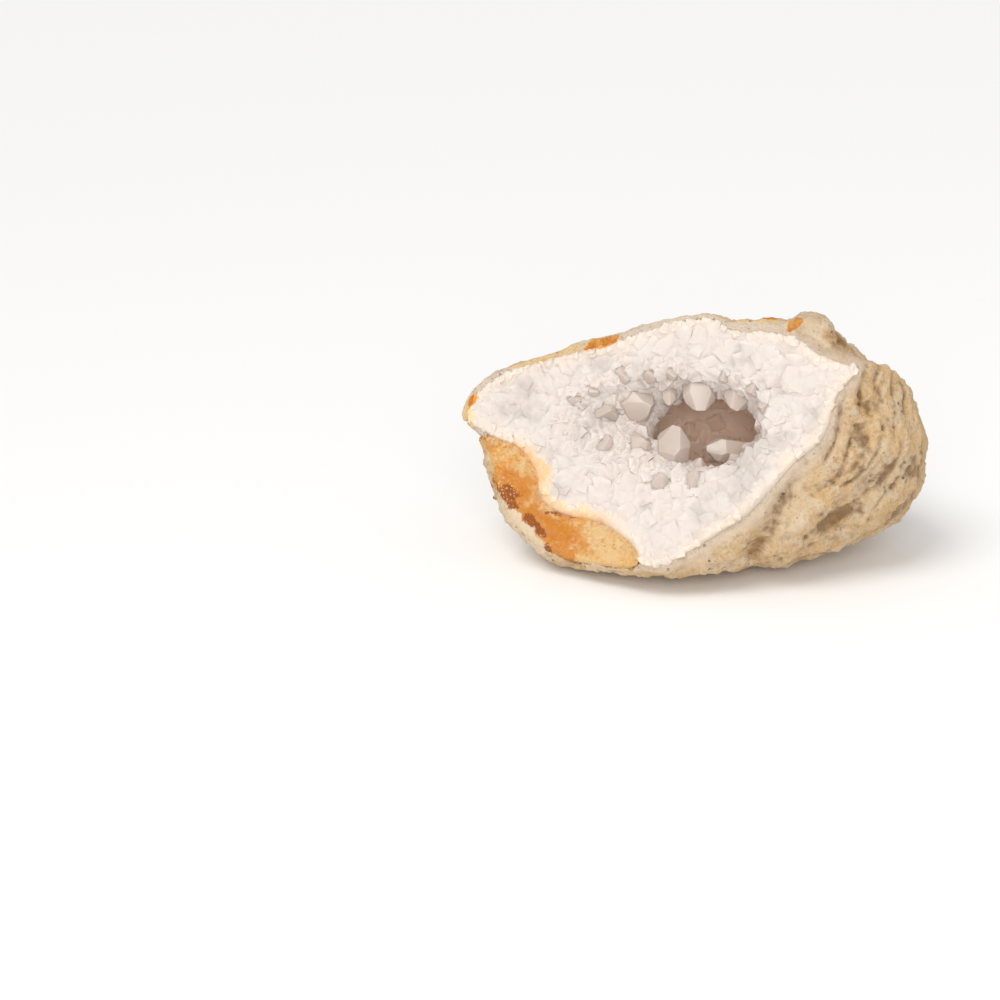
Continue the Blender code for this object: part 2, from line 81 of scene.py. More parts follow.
# The face frame lies in the broken face: x to the right, y up the face, z out of it. In mm.
FACE_LEAN = math.radians(22)  # it leans back by this much
FACE_TURN = math.pi / 2 - FACE_LEAN
FACE_FROM_LINING = (1.2937, -10.408, 2.9783)  # mm from the middle of the lining's box
LINING_MIDDLE = sum(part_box(LINING), Vector()) / 2
FACE_ORIGIN = LINING_MIDDLE + Vector(FACE_FROM_LINING) * MM
FACE_AXES = np.array(Matrix.Rotation(FACE_TURN, 3, "X"))
FRACTURE_RISE = (0.22, -0.18)  # how much the fracture comes forward to the right and upwards
HOLLOW_CENTRE = (3.2, 2.9, -12.0)
HOLLOW_MOUTH, HOLLOW_REACH = (3.5, 2.5), 15.0
BASIN_CENTRE, BASIN_RADII = (-5.0, 4.6), (22.0, 11.5)

CRYSTALS = [node for name, node in frame["nodes"].items() if name.startswith("crystal_")]


# ---------------------------------------------------------------- settings
def length(name, description, millimetres):
    return FloatProperty(
        name=name, description=description, default=millimetres * MM, unit="LENGTH", subtype="DISTANCE"
    )


def angle(name, description, degrees):
    return FloatProperty(
        name=name,
        description=description,
        default=math.radians(degrees),
        unit="ROTATION",
        subtype="ANGLE",
    )


def colour(name, description, red, green, blue):
    return FloatVectorProperty(
        name=name,
        description=description,
        default=(red / 255, green / 255, blue / 255),
        min=0.0,
        max=1.0,
        size=3,
        subtype="COLOR_GAMMA",
    )


class GeodeSizes(PropertyGroup):
    quartz_voxel: length("Quartz detail", "Size of the facets that the quartz is built from", 0.56)
    rind_voxel: length("Rind detail", "Size of the facets that the rind is built from", 0.56)
    stain_voxel: length("Stain detail", "Size of the facets that the stained layer is built from", 0.36)
    quartz_relief: length("Quartz relief", "Unevenness of the broken quartz", 0.4)
    rind_lumps: length("Rind lumps", "Height of the lumps on the rind", 1.1)
    rind_flutes: length("Rind flutes", "Depth of the upright flutes on the right", 1.15)
    rind_grain: length("Rind grain", "Height of the rind's finer roughness", 0.38)
    stain_relief: length("Stain relief", "Roughness of the stained layer", 0.45)
    crystal_wear: length("Crystal wear", "Width of the worn edges of the crystals", 0.06)


class GeodeColours(PropertyGroup):
    milky: colour("Milky quartz", "White of the broken quartz", 221, 214, 208)
    pale_pink: colour("Warm quartz", "Warmer white between the grains", 221, 206, 196)
    clear_grey: colour("Clear quartz", "Grey of the clearer patches", 194, 185, 178)
    # Painted shade: the grey of the basin and of the way into the hollow.
    recess_shade: colour("Basin", "Quartz on the way into the hollow", 196, 180, 168)
    hollow: colour("Hollow", "Quartz deep in the hollow", 236, 212, 194)
    cream: colour("Cream edge", "Chalky band between quartz and rind", 242, 222, 200)
    tan: colour("Rind", "Main colour of the rind", 241, 204, 154)
    tan_light: colour("Rind, light", "Worn high places of the rind", 248, 228, 198)
    # Used for dark streaks and grain, and as painted shade under and beside the knob.
    tan_dark: colour("Rind, dark", "Low places of the rind", 208, 164, 112)
    # Painted shade in the rind's low places and under the knob, and the colour of its dark pits and
    # specks.
    shade_and_speck_brown: colour("Grooves", "Bottoms of the grooves and pits", 146, 108, 70)
    orange: colour("Stain", "Main colour of the iron stain", 242, 166, 70)
    orange_light: colour("Stain, light", "Thin parts of the stain", 250, 213, 154)
    rust_bright: colour("Rust, bright", "Brown-orange parts of the stain", 228, 138, 38)
    rust: colour("Rust", "Thick parts of the stain", 156, 74, 20)
    skin: colour("Skin patch", "Bare cream patch at the stained corner", 251, 226, 192)


class GeodeStage(PropertyGroup):
    lens: FloatProperty(name="Lens", description="Focal length in millimetres", default=85.0)
    distance: FloatProperty(
        name="Distance", description="From the camera to the broken face", default=0.5, unit="LENGTH"
    )
    pan: angle("Pan", "How far the stone stands to the right of the view's middle", 4.649)
    tilt: angle("Tilt", "How far the stone stands above the view's middle", 1.334)
    key_width: angle("Key width", "How wide the key light looks from the stone", 32.0)
    key_strength: FloatProperty(name="Key light", description="Strength of the key light", default=1.25)
    fill_power: FloatProperty(name="Fill light", description="Power of the fill light", default=1.2)
    sky: FloatProperty(name="Sky", description="Strength of the even light", default=0.62)


def linear(shade):
    """The scene colour of a display colour."""
    return tuple(c / 12.92 if c < 0.04045 else ((c + 0.055) / 1.055) ** 2.4 for c in shade) + (1.0,)


# ---------------------------------------------------------------- shader nodes
class Value:
    """A number in a node tree. Arithmetic on it adds Math nodes."""

    def __init__(self, nodes, socket):
        self.nodes, self.socket = nodes, socket

    def math(self, operation, *terms):
        values = {i: term for i, term in enumerate(terms)}
        return self.nodes.value("ShaderNodeMath", {"operation": operation}, values)

    def __add__(self, other):
        return self.math("ADD", self, other)

    def __radd__(self, other):
        return self.math("ADD", other, self)

    def __sub__(self, other):
        return self.math("SUBTRACT", self, other)

    def __rsub__(self, other):
        return self.math("SUBTRACT", other, self)

    def __mul__(self, other):
        return self.math("MULTIPLY", self, other)

    def __rmul__(self, other):
        return self.math("MULTIPLY", other, self)

    def __truediv__(self, other):
        return self.math("DIVIDE", self, other)

    def higher(self, other):
        return self.math("MAXIMUM", self, other)

    def root(self):
        return self.math("SQRT", self)

    def rise(self, low, high):
        """0 below low and 1 above high, with a smooth step between; falls if low is above high."""
        if low > high:
            return 1 - self.rise(high, low)
        settings = {"interpolation_type": "SMOOTHSTEP"}
        return self.nodes.value("ShaderNodeMapRange", settings, {0: self, 1: low, 2: high})


class TreeBuilder:
    """Adds nodes to self.tree, a node tree of any kind."""

    def node(self, kind, settings=None, values=None):
        """A node of any kind: its settings first, then the values or links of its sockets."""
        node = self.tree.nodes.new(kind)
        for name, setting in (settings or {}).items():
            setattr(node, name, setting)
        for key, value in (values or {}).items():
            source = value.socket if isinstance(value, Value) else value
            if isinstance(source, bpy.types.NodeSocket):
                self.tree.links.new(source, node.inputs[key])
            else:
                node.inputs[key].default_value = source
        return node


class FinishNodes(TreeBuilder):
    """The nodes of one material, from its coordinates to its shader."""

    def __init__(self, name):
        self.material = bpy.data.materials.new(name)
        self.material.use_nodes = True
        self.tree = self.material.node_tree
        self.tree.nodes.clear()
        place = self.node("ShaderNodeTexCoord").outputs["Object"]
        place_values = {0: place, 1: FACE_ORIGIN, 2: (FACE_TURN, 0, 0), 3: (MM, MM, MM)}
        self.face = self.node("ShaderNodeMapping", {"vector_type": "TEXTURE"}, place_values).outputs[0]
        parts = self.node("ShaderNodeSeparateXYZ", values={0: self.face})
        self.x, self.y, self.z = (Value(self, socket) for socket in parts.outputs)
        fracture = self.x * FRACTURE_RISE[0] + self.y * FRACTURE_RISE[1]
        self.depth = fracture - self.z

    def value(self, kind, settings=None, values=None, output=0):
        return Value(self, self.node(kind, settings, values).outputs[output])

    def clouds(self, size, detail=3.0, roughness=0.55, distortion=0.0, place=None):
        """Soft noise from 0 to 1, with features of about this size in mm."""
        values = {0: place or self.face, 2: 1 / size, 3: detail, 4: roughness, 8: distortion}
        return self.value("ShaderNodeTexNoise", values=values)

    def cell_noise(self, size):
        """Random cells of about this size in mm."""
        return self.node("ShaderNodeTexVoronoi", values={0: self.face, 2: 1 / size, 8: 1.0})

    def cells(self, size):
        """How far each place lies from the middle of its cell, in cell sizes."""
        return Value(self, self.cell_noise(size).outputs["Distance"])

    def cell_tone(self, size):
        """A random number from 0 to 1 for each cell."""
        shade = self.cell_noise(size).outputs["Color"]
        return self.value("ShaderNodeSeparateColor", values={0: shade})

    def stretched(self, turn, stretch):
        """Face coordinates turned and stretched, for grain that runs one way."""
        turned = self.node("ShaderNodeMapping", values={0: self.face, 2: turn})
        return self.node("ShaderNodeMapping", values={0: turned.outputs[0], 3: stretch}).outputs[0]

    def attribute(self, name):
        return self.value("ShaderNodeAttribute", {"attribute_name": name}, output=2)

    def mix(self, factor, first, second):
        """The first colour where the factor is 0, the second where it is 1."""
        settings = {"data_type": "RGBA", "clamp_factor": True}
        return self.node("ShaderNodeMix", settings, {0: factor, 6: first, 7: second}).outputs[2]

    def tinted(self, base, share, shade):
        """The base with this share of a display colour over it."""
        return self.mix(share, base, linear(shade))

    def patch(self, centre, radii, turn, edge, waves=0.0):
        """1 inside a soft-edged oval of the face, 0 outside; waves, a value, breaks up its edge."""
        cos, sin = math.cos(turn), math.sin(turn)
        dx, dy = self.x - centre[0], self.y - centre[1]
        along = (dx * cos + dy * sin) / radii[0]
        across = (dy * cos - dx * sin) / radii[1]
        reach = (along * along + across * across).root() + waves
        return reach.rise(1 + edge, 1 - edge)

    def patches(self, ovals, waves):
        """1 inside any of the ovals, each given as its centre, radii, turn and edge."""
        first, *others = (self.patch(*oval, waves) for oval in ovals)
        for other in others:
            first = first.higher(other)
        return first

    def shader(self, base, roughness, height, relief, constants):
        """The Principled shader, with a bump of this relief in mm, and the material's output."""
        bump = self.node("ShaderNodeBump", values={"Distance": relief * MM, "Height": height})
        values = {"Base Color": base, "Roughness": roughness, "Normal": bump.outputs[0], **constants}
        principled = self.node("ShaderNodeBsdfPrincipled", values=values)
        self.node("ShaderNodeOutputMaterial", values={0: principled.outputs[0]})
        return self.material


# ---------------------------------------------------------------- finishes
# Where the stains lie on the face: centre and radii in mm, turn in radians and softness of the edge.
RIM_LINES = (
    ((13.5, 26.6), (8.0, 0.9), -0.06, 0.2),
    ((-31.0, 19.4), (11.0, 0.9), 0.26, 0.2),
    ((-48.9, 6.0), (1.3, 5.0), 0.0, 0.2),
)
RIM_SPOTS = (
    ((-19.4, 21.9), (3.8, 1.1), 0.28, 0.12),
    ((21.4, 25.3), (2.2, 0.9), 0.75, 0.12),
    ((-47.6, 9.8), (0.8, 1.8), -0.5, 0.12),
    ((15.0, 26.9), (4.5, 0.35), -0.06, 0.12),
)
RUSTY_PATCHES = (
    ((-39.0, -9.5), (5.4, 4.6), -0.4, 0.4),
    ((-31.5, -17.6), (9.6, 3.2), -0.5, 0.35),
    ((-28.5, -23.2), (4.0, 2.4), 0.15, 0.12),
)
DARK_PATCHES = (
    ((-41.0, -12.0), (4.0, 4.4), -0.6, 0.3),
    ((-34.5, -17.5), (3.6, 2.4), -0.4, 0.3),
    ((-31.6, -23.0), (1.8, 1.8), 0.0, 0.3),
    ((-27.0, -14.8), (5.0, 0.8), -0.1, 0.3),
)


def rim_stains(nodes, base, colours, waves):
    """Iron stains in the cracks along the top of the broken rim."""
    near = (nodes.depth + waves).rise(7.0, 3.5)
    line = nodes.patches(RIM_LINES, waves)
    base = nodes.tinted(base, line * near * 0.8, colours.orange_light)
    spots = nodes.patches(RIM_SPOTS, waves) * near
    base = nodes.tinted(base, spots * 0.8, colours.orange)
    return nodes.tinted(base, (spots * (waves + 0.9)).rise(0.55, 0.8) * 0.8, colours.rust_bright)


def quartz_colour(nodes, colours):
    """Milky white on the face, greyer in patches, painted shade on the way in, browner deep in the
    hollow. Returns colour and grain.
    """
    broad, fine = nodes.clouds(8.0, 4.0), nodes.clouds(1.6, 5.0, 0.65)
    tone = nodes.cell_tone(3.4)
    milky, warm, clear = (linear(c) for c in (colours.milky, colours.pale_pink, colours.clear_grey))
    base = nodes.mix(tone * 0.45 + fine * 0.5 - 0.1, milky, warm)
    clear_patches = broad.rise(0.50, 0.64) * 0.6 + fine.rise(0.58, 0.78) * 0.15
    base = nodes.mix(clear_patches, base, clear)
    # Painted shade: a faint grey over the basin left of the hollow, and more with depth on the way in.
    basin = nodes.patch((-12.0, 5.2), (17.0, 8.0), 0.1, 0.4, (broad - 0.5) * 0.9)
    wavering = nodes.depth + (broad - 0.5) * 3.0
    recess_shade_share = (basin * 0.08).higher(wavering.rise(4.5, 11.0) * 0.65)
    base = nodes.tinted(base, recess_shade_share, colours.recess_shade)
    base = nodes.tinted(base, wavering.rise(9.0, 18.0), colours.hollow)
    return base, fine


QUARTZ_CONSTANTS = {
    "IOR": 1.54,
    "Subsurface Weight": 0.8,
    "Subsurface Radius": (1.0, 0.95, 0.90),
    "Subsurface Scale": 1.8 * MM,
}


def quartz_mass_finish(colours):
    """Milky quartz with a chalky, dusty edge, orange beside the stained layer."""
    nodes = FinishNodes("milky_quartz")
    base, fine = quartz_colour(nodes, colours)
    from_rind = nodes.attribute("mm_from_rind")
    edge = from_rind + (nodes.clouds(2.6, 4.0) - 0.5) * 4.5
    base = nodes.tinted(base, edge.rise(3.8, -0.6) * 0.5, colours.cream)
    dusty = edge + (nodes.clouds(0.9, 4.0) - 0.5) * 4.0
    base = nodes.tinted(base, dusty.rise(0.8, -1.4) * 0.5, colours.tan_light)
    stained_side = nodes.patch((-34.0, -14.0), (17.0, 12.0), -0.6, 0.3)
    blotches = nodes.clouds(3.6, 5.0, 0.65)
    reach = from_rind + (blotches - 0.5) * 9.0
    stained = reach.rise(1.5, 0.3) * stained_side
    stained = stained.higher(nodes.patch((-39.0, -2.8), (6.0, 3.6), -0.2, 0.06, (blotches - 0.5) * 1.6))
    base = nodes.tinted(base, stained * 0.5, colours.orange_light)
    strongest = (fine + blotches - 0.35).rise(0.45, 0.75)
    base = nodes.tinted(base, stained * strongest * 0.4, colours.orange)
    base = rim_stains(nodes, base, colours, (fine - 0.5) * 3.0)
    roughness = 0.30 + fine * 0.3 + nodes.cell_tone(2.2) * 0.12
    height = fine + nodes.clouds(0.5, 3.0) * 0.6
    return nodes.shader(base, roughness, height, 0.06, QUARTZ_CONSTANTS)


def crystal_finish(colours):
    """Clearer quartz with fine growth lines."""
    nodes = FinishNodes("clear_quartz")
    base, fine = quartz_colour(nodes, colours)
    # Partly painted shade, partly the greyer tone of clear quartz: the crystals near the face take the
    # basin's shade grey.
    base = nodes.tinted(base, nodes.depth.rise(13.0, 7.0) * 0.75, colours.recess_shade)
    growth_lines = nodes.clouds(0.7, 2.0, 0.5, place=nodes.stretched((0, 0, 0.2), (0.2, 1.0, 0.4)))
    roughness = 0.2 + fine * 0.25
    height = growth_lines * 0.5 + fine * 0.4
    translucent = {**QUARTZ_CONSTANTS, "Subsurface Weight": 0.6, "Subsurface Scale": 1.2 * MM}
    return nodes.shader(base, roughness, height, 0.03, translucent)


def skin_patch(nodes, waves):
    """Where the bare cream skin shows at the outer edge of the stained corner."""
    strip = nodes.patch((-36.4, -19.4), (8.6, 2.5), -0.876, 0.12, waves)
    return strip * nodes.depth.rise(16.0, 11.0)


def rind_finish(colours):
    """Tan limestone, painted shade in its low places, brown pits and specks, cream beside the quartz."""
    nodes = FinishNodes("tan_rind")
    broad, medium = nodes.clouds(14.0, 3.0), nodes.clouds(3.0, 5.0, 0.62)
    grain, dust = nodes.clouds(0.8, 4.0, 0.7), nodes.clouds(0.28, 3.0, 0.7)
    streaks = nodes.clouds(2.2, 4.0, 0.6, place=nodes.stretched((0, 0, -0.35), (1.0, 0.28, 0.6)))
    tan, light, dark = (linear(c) for c in (colours.tan, colours.tan_light, colours.tan_dark))
    base = nodes.mix(medium.rise(0.40, 0.64) * 0.7, tan, light)
    base = nodes.mix(streaks.rise(0.50, 0.32) * 0.4, base, dark)
    base = nodes.mix(grain.rise(0.52, 0.36) * 0.6, base, dark)
    base = nodes.mix(broad.rise(0.50, 0.62) * 0.4, base, light)
    base = nodes.mix(dust.rise(0.54, 0.70) * 0.6, base, light)
    knob = nodes.patch((27.0, 22.5), (6.5, 5.0), -0.5, 0.4, (medium - 0.5) * 1.2)
    base = nodes.mix(knob * 0.4, base, light)
    knob_waves = (medium - 0.5) * 2.6
    # Painted shade under the knob and down its lower right side, in dark tan with grainy brown.
    shade_under_knob = nodes.patch((25.5, 21.0), (4.5, 1.0), -0.6, 0.4, knob_waves) * 0.8
    knob_shade_side = nodes.patch((31.0, 20.0), (4.6, 1.9), -0.95, 0.4, knob_waves).higher(shade_under_knob)
    base = nodes.mix(knob_shade_side * 0.75, base, dark)
    base = nodes.tinted(base, knob_shade_side * grain.rise(0.56, 0.42) * 0.6, colours.shade_and_speck_brown)
    # Painted shade: the low places of the relief, its grooves, flutes and pits, darkened to brown.
    low = nodes.attribute("low_places") + (medium - 0.5) * 0.7 + (grain - 0.5) * 0.7
    base = nodes.tinted(base, low.rise(0.12, 0.8) * (grain * 0.9 + 0.3), colours.shade_and_speck_brown)
    pits = nodes.cells(2.3).rise(0.16, 0.06) * nodes.clouds(7.0).rise(0.5, 0.62)
    specks = nodes.cells(1.2).rise(0.18, 0.07) * medium.rise(0.46, 0.56)
    base = nodes.tinted(base, pits * 0.7 + specks * 0.5, colours.shade_and_speck_brown)
    behind = nodes.depth.rise(3.0, 9.0) * 6.0
    edge = nodes.attribute("mm_from_quartz") + behind + (medium - 0.5) * 3.6 + (grain - 0.5) * 1.6
    base = nodes.tinted(base, edge.rise(2.8, 0.4) * 0.75, colours.cream)
    base = nodes.tinted(base, edge.rise(0.9, -0.3) * 0.6, colours.pale_pink)
    top_rim = nodes.patch((-14.0, 20.5), (40.0, 9.0), 0.26, 0.3) * edge.rise(5.5, 2.0)
    base = nodes.tinted(base, top_rim * 0.9, colours.cream)
    base = rim_stains(nodes, base, colours, (medium - 0.5) * 3.0)
    base = nodes.tinted(base, skin_patch(nodes, (medium - 0.5) * 2.0), colours.skin)
    height = grain * 0.8 + dust * 0.6 + medium * 0.8 - pits * 1.2 - specks * 0.6
    return nodes.shader(base, 0.78 + grain * 0.2, height, 0.9, {"Specular IOR Level": 0.25})


def stained_finish(colours):
    """Orange to rust brown stain with a speckled grain and a few white specks."""
    nodes = FinishNodes("iron_stain")
    broad, medium = nodes.clouds(7.0, 4.0), nodes.clouds(2.4, 5.0, 0.65)
    grain, speckle = nodes.clouds(0.7, 4.0, 0.7), nodes.clouds(0.9, 5.0, 0.75, 0.6)
    waves = (medium - 0.5) * 2.0
    orange, light, rust = (linear(c) for c in (colours.orange, colours.orange_light, colours.rust))
    thinner = broad * 0.6 + medium * 0.4 + (speckle - 0.5) * 0.8
    base = nodes.mix(thinner.rise(0.40, 0.60) * 0.9, orange, light)
    paler = nodes.patch((-17.0, -22.5), (8.5, 6.0), 0.0, 0.5, waves)
    base = nodes.mix(paler * 0.55, base, light)
    rusty = nodes.patches(RUSTY_PATCHES, waves)
    base = nodes.tinted(base, rusty * (speckle * 0.8 + 0.4), colours.rust_bright)
    dark = nodes.patches(DARK_PATCHES, waves)
    base = nodes.mix((dark * (broad + speckle)).rise(0.65, 1.0) * 0.85, base, rust)
    base = nodes.mix(grain.rise(0.54, 0.70) * 0.35, base, light)
    base = nodes.tinted(base, speckle.rise(0.44, 0.34) * 0.5, colours.rust_bright)
    base = nodes.mix(speckle.rise(0.36, 0.28) * 0.6, base, rust)
    speckled = nodes.patch((-41.0, -9.5), (3.2, 3.4), 0.0, 0.4, waves)
    white_specks = nodes.cells(0.8).rise(0.36, 0.2) * speckle.rise(0.44, 0.56) * speckled
    base = nodes.tinted(base, white_specks * 0.8, colours.skin)
    edge = nodes.attribute("mm_from_quartz") + (medium - 0.5) * 3.0 + (grain - 0.5) * 1.5
    base = nodes.tinted(base, edge.rise(1.0, -0.6) * 0.5, colours.cream)
    base = nodes.tinted(base, skin_patch(nodes, waves), colours.skin)
    height = medium + grain * 0.9 + speckle * 0.7
    return nodes.shader(base, 0.62 + grain * 0.25, height, 0.8, {"Specular IOR Level": 0.35})


# ---------------------------------------------------------------- meshes
def link(obj):
    bpy.context.scene.collection.objects.link(obj)
    return obj


def shape_of(objects):
    """All the faces of the objects in one BMesh."""
    shape = bmesh.new()
    for obj in objects:
        shape.from_mesh(obj.data)
    return shape


def merged_copy(name, nodes):
    """One object with the nodes' faces, their loose triangles joined at the corners."""
    shape = shape_of(nodes)
    bmesh.ops.remove_doubles(shape, verts=shape.verts, dist=0.001 * MM)
    mesh = bpy.data.meshes.new(name)
    shape.to_mesh(mesh)
    shape.free()
    return link(bpy.data.objects.new(name, mesh))


def tree_of(nodes):
    """A search tree over the nodes' faces."""
    shape = shape_of(nodes)
    tree = BVHTree.FromBMesh(shape)
    shape.free()
    return tree


def made_plain(obj):
    """Turns what the object's modifiers make into its own mesh."""
    evaluated = obj.evaluated_get(bpy.context.evaluated_depsgraph_get())
    mesh = bpy.data.meshes.new_from_object(evaluated)
    obj.modifiers.clear()
    old, obj.data = obj.data, mesh
    bpy.data.meshes.remove(old)
    mesh.name = obj.name
    return obj


def remeshed(obj, voxel):
    modifier = obj.modifiers.new("voxels", "REMESH")
    modifier.mode = "VOXEL"
    modifier.voxel_size = voxel
    return made_plain(obj)


def smoothed(obj, times):
    modifier = obj.modifiers.new("smoothing", "SMOOTH")
    modifier.iterations = times
    return made_plain(obj)


def main_part(obj):
    """Drops the crumbs that a remesh or a union may leave beside the body."""
    shape = shape_of([obj])
    left, parts = set(shape.faces), []
    while left:
        front, part = [left.pop()], []
        while front:
            face = front.pop()
            part.append(face)
            beside = [other for edge in face.edges for other in edge.link_faces if other in left]
            left.difference_update(beside)
            front.extend(set(beside))
        parts.append(part)
    parts.sort(key=len)
    for part in parts[:-1]:
        bmesh.ops.delete(shape, geom=part, context="FACES")
    shape.to_mesh(obj.data)
    shape.free()
    return obj


def vectors_of(elements, field):
    vectors = np.empty(len(elements) * 3)
    elements.foreach_get(field, vectors)
    return vectors.reshape(-1, 3)


def points_of(obj):
    return vectors_of(obj.data.vertices, "co")


def normals_of(obj):
    return vectors_of(obj.data.vertex_normals, "vector")


def move_points(obj, points):
    obj.data.vertices.foreach_set("co", points.ravel())
    obj.data.update()


def in_face(points):
    """World points in the face frame, in mm."""
    return (points - np.array(FACE_ORIGIN)) @ FACE_AXES / MM


def unit(vectors):
    return vectors / np.maximum(np.linalg.norm(vectors, axis=-1, keepdims=True), 1e-9)


def rise(values, low, high):
    """0 below low and 1 above high, with a smooth step between; falls if low is above high."""
    share = np.clip((values - low) / (high - low), 0, 1)
    return share * share * (3 - 2 * share)


def depth_in_face(face):
    """How far points of the face frame lie behind the fracture, in mm."""
    return FRACTURE_RISE[0] * face[:, 0] + FRACTURE_RISE[1] * face[:, 1] - face[:, 2]


def clouds(points, size, salt, octaves=1):
    """Smooth noise from -1 to 1 at each point, with features of this size."""
    shift = Vector((salt * 5.3, salt * 2.9, salt * 7.1))
    total = np.zeros(len(points))
    for octave in range(octaves):
        spacing = size / 2**octave
        layer = [noise.noise(Vector(p) / spacing + shift) for p in points]
        total += np.array(layer) / 2**octave
    return total


def ridges(points, size, salt):
    """Noise with narrow grooves: 0 in the groove, near 1 between grooves."""
    return np.minimum(1.0, 3.2 * np.abs(clouds(points, size, salt)))


def nearest(tree, points):
    """The nearest place on the tree for each point, its normal and its distance in mm."""
    found = [tree.find_nearest(Vector(p)) for p in points]
    places = np.array([f[0] for f in found])
    normals = np.array([f[1] for f in found])
    return places, normals, np.array([f[3] for f in found]) / MM


def store(obj, name, values, kind="FLOAT"):
    attribute = obj.data.attributes.new(name, kind, "POINT")
    field = "vector" if kind == "FLOAT_VECTOR" else "value"
    attribute.data.foreach_set(field, np.asarray(values, np.float32).ravel())


def faceted(obj, degrees):
    obj.data.shade_smooth()
    obj.data.set_sharp_from_angle(angle=math.radians(degrees))


# ---------------------------------------------------------------- grains and crystals
def cut_flat(shape, point, normal):
    """Cuts away what lies beyond a plane, and closes the cut."""
    everything = shape.verts[:] + shape.edges[:] + shape.faces[:]
    cut = bmesh.ops.bisect_plane(
        shape, geom=everything, plane_co=point, plane_no=normal, clear_outer=True, dist=1e-6
    )
    edges = [e for e in cut["geom_cut"] if isinstance(e, bmesh.types.BMEdge)]
    if edges:
        bmesh.ops.contextual_create(shape, geom=edges)


def cut_block(name, planes, collection):
    """A convex block about 1 wide, cut from a cube by planes given as (point, normal)."""
    uncut = 6  # far wider than any block
    shape = bmesh.new()
    bmesh.ops.create_cube(shape, size=uncut)
    for point, normal in planes:
        cut_flat(shape, Vector(point), Vector(normal).normalized())
    bmesh.ops.recalc_face_normals(shape, faces=shape.faces)
    mesh = bpy.data.meshes.new(name)
    shape.to_mesh(mesh)
    shape.free()
    collection.objects.link(bpy.data.objects.new(name, mesh))


POINT_ANGLE = math.radians(38.2)  # between the axis of a quartz crystal and the faces of its point


def around(angle, lift=0.0):
    return Vector((math.cos(angle), math.sin(angle), lift))


def broken_facets(pick):
    """A low block of broken quartz: five to seven sides, each with a gentle slope up from it."""
    sides = pick.randint(5, 7)
    planes = [((0, 0, -0.5), (0, 0, -1))]
    for k in range(sides):
        out = around(2 * math.pi * (k + pick.uniform(-0.3, 0.3)) / sides)
        reach = pick.uniform(0.40, 0.5)
        planes.append((out * reach, out))
        slope = math.radians(pick.choice((8, 12, 16, 20, 26, 36)))
        planes.append((out * reach, out * math.sin(slope) + Vector((0, 0, math.cos(slope)))))
    planes.append(((0, 0, pick.uniform(0.10, 0.17)), around(pick.uniform(0, 2 * math.pi), 5.0)))
    return planes


def small_crystal(pick):
    """A quartz crystal: six sides and a point in which three of the faces are the larger ones."""
    planes = [((0, 0, -0.9), (0, 0, -1))]
    steepness = math.tan(POINT_ANGLE)
    tip = pick.uniform(0.36, 0.48)
    for k in range(6):
        out = around(math.pi / 3 * k)
        planes.append((out * pick.uniform(0.38, 0.5), out))
        slope = around(math.pi / 3 * k, steepness)
        extra = pick.uniform(0.0, 0.12) if k % 2 else pick.uniform(0.2, 0.45)
        planes.append(((0, 0, tip + extra), slope))
    return planes


def block_collection(name, recipe, count, seed):
    pick = random.Random(seed)
    collection = bpy.data.collections.new(name)
    for k in range(count):
        cut_block(f"{name}_{k}", recipe(pick), collection)
    return collection


